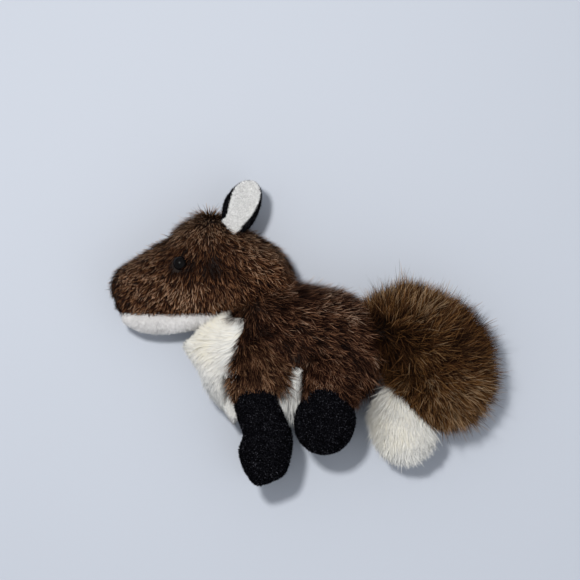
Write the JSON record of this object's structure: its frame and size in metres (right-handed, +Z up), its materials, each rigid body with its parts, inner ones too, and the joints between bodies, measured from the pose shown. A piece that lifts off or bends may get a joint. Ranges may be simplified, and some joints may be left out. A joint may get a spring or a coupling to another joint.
{
  "type": "fox finger puppet",
  "caption": "Plush fox finger puppet lying on its side, with a belly pocket for a finger and a head, legs, ears and curled bushy tail that flex at their seams.",
  "frame": {"origin": "middle of the part's box, on the surface that it lies on", "axes": "+X from the nose towards the tail, +Y from the legs towards the back, +Z up from the table through the fox's left side"},
  "size_m": [0.17, 0.1306, 0.0431],
  "materials": {
    "brown_pile": "long brown pile with tan tips",
    "tail_pile": "long bushy brown pile with a golden band",
    "white_pile": "long cream white pile",
    "white_short_pile": "short white pile",
    "black_short_pile": "short matt black pile",
    "ear_lining_pile": "short pale grey pile",
    "fibre_fill": "loose polyester fibre",
    "pocket_cloth": "plain woven lining",
    "eye_gloss": "polished black",
    "washer_plastic": "moulded nylon"
  },
  "bodies": {
    "torso": {"body_cover": "brown_pile", "chest_and_belly_panel": "white_pile", "body_stuffing": "fibre_fill", "finger_pocket": "pocket_cloth"},
    "head": {"head_cover": "brown_pile", "chin_panel": "white_short_pile", "head_stuffing": "fibre_fill", "eye_left": "eye_gloss", "eye_right": "eye_gloss", "eye_washer_left": "washer_plastic", "eye_washer_right": "washer_plastic"},
    "ear_left": {"ear_left_back": "black_short_pile", "ear_left_lining": "ear_lining_pile"},
    "ear_right": {"ear_right_back": "black_short_pile", "ear_right_lining": "ear_lining_pile"},
    "front_leg_left": {"front_leg_left_upper": "brown_pile", "front_leg_left_boot": "black_short_pile", "front_leg_left_stuffing": "fibre_fill"},
    "front_leg_right": {"front_leg_right_upper": "brown_pile", "front_leg_right_boot": "black_short_pile", "front_leg_right_stuffing": "fibre_fill"},
    "hind_leg_left": {"hind_leg_left_upper": "brown_pile", "hind_leg_left_boot": "black_short_pile", "hind_leg_left_stuffing": "fibre_fill"},
    "hind_leg_right": {"hind_leg_right_upper": "brown_pile", "hind_leg_right_boot": "black_short_pile", "hind_leg_right_stuffing": "fibre_fill"},
    "tail": {"tail_cover": "tail_pile", "tail_tip": "white_pile", "tail_stuffing": "fibre_fill"}
  },
  "joints": [
    {"name": "head_nod", "type": "hinge", "parent": "torso", "child": "head", "pos_m": [-0.01738, 0.01914, 0.0185], "axis": [0, 0, 1], "range_deg": [-24, 6], "stiffness_Nm_per_rad": 0.002},
    {"name": "ear_left_fold", "type": "hinge", "parent": "head", "child": "ear_left", "pos_m": [-0.03292, 0.04472, 0.02875], "axis": [0.9135, -0.4067, 0], "range_deg": [-20, 16], "stiffness_Nm_per_rad": 0.002},
    {"name": "ear_right_fold", "type": "hinge", "parent": "head", "child": "ear_right", "pos_m": [-0.03292, 0.04472, 0.00825], "axis": [0.9135, -0.4067, 0], "range_deg": [-16, 20], "stiffness_Nm_per_rad": 0.002},
    {"name": "front_leg_left_swing", "type": "hinge", "parent": "torso", "child": "front_leg_left", "pos_m": [-0.02202, -0.01428, 0.038], "axis": [0, 0, 1], "range_deg": [-18, 0], "stiffness_Nm_per_rad": 0.002},
    {"name": "front_leg_right_swing", "type": "hinge", "parent": "torso", "child": "front_leg_right", "pos_m": [-0.02202, -0.01428, 0.004], "axis": [0, 0, 1], "range_deg": [-18, 0], "stiffness_Nm_per_rad": 0.002},
    {"name": "hind_leg_left_swing", "type": "hinge", "parent": "torso", "child": "hind_leg_left", "pos_m": [0.00703, -0.01725, 0.038], "axis": [0, 0, 1], "range_deg": [0, 9], "stiffness_Nm_per_rad": 0.002},
    {"name": "hind_leg_right_swing", "type": "hinge", "parent": "torso", "child": "hind_leg_right", "pos_m": [0.00703, -0.01725, 0.004], "axis": [0, 0, 1], "range_deg": [0, 9], "stiffness_Nm_per_rad": 0.002},
    {"name": "tail_lift", "type": "hinge", "parent": "torso", "child": "tail", "pos_m": [0.02404, 0.00575, 0.02], "axis": [0, 0, 1], "range_deg": [0, 30], "stiffness_Nm_per_rad": 0.002}
  ]
}
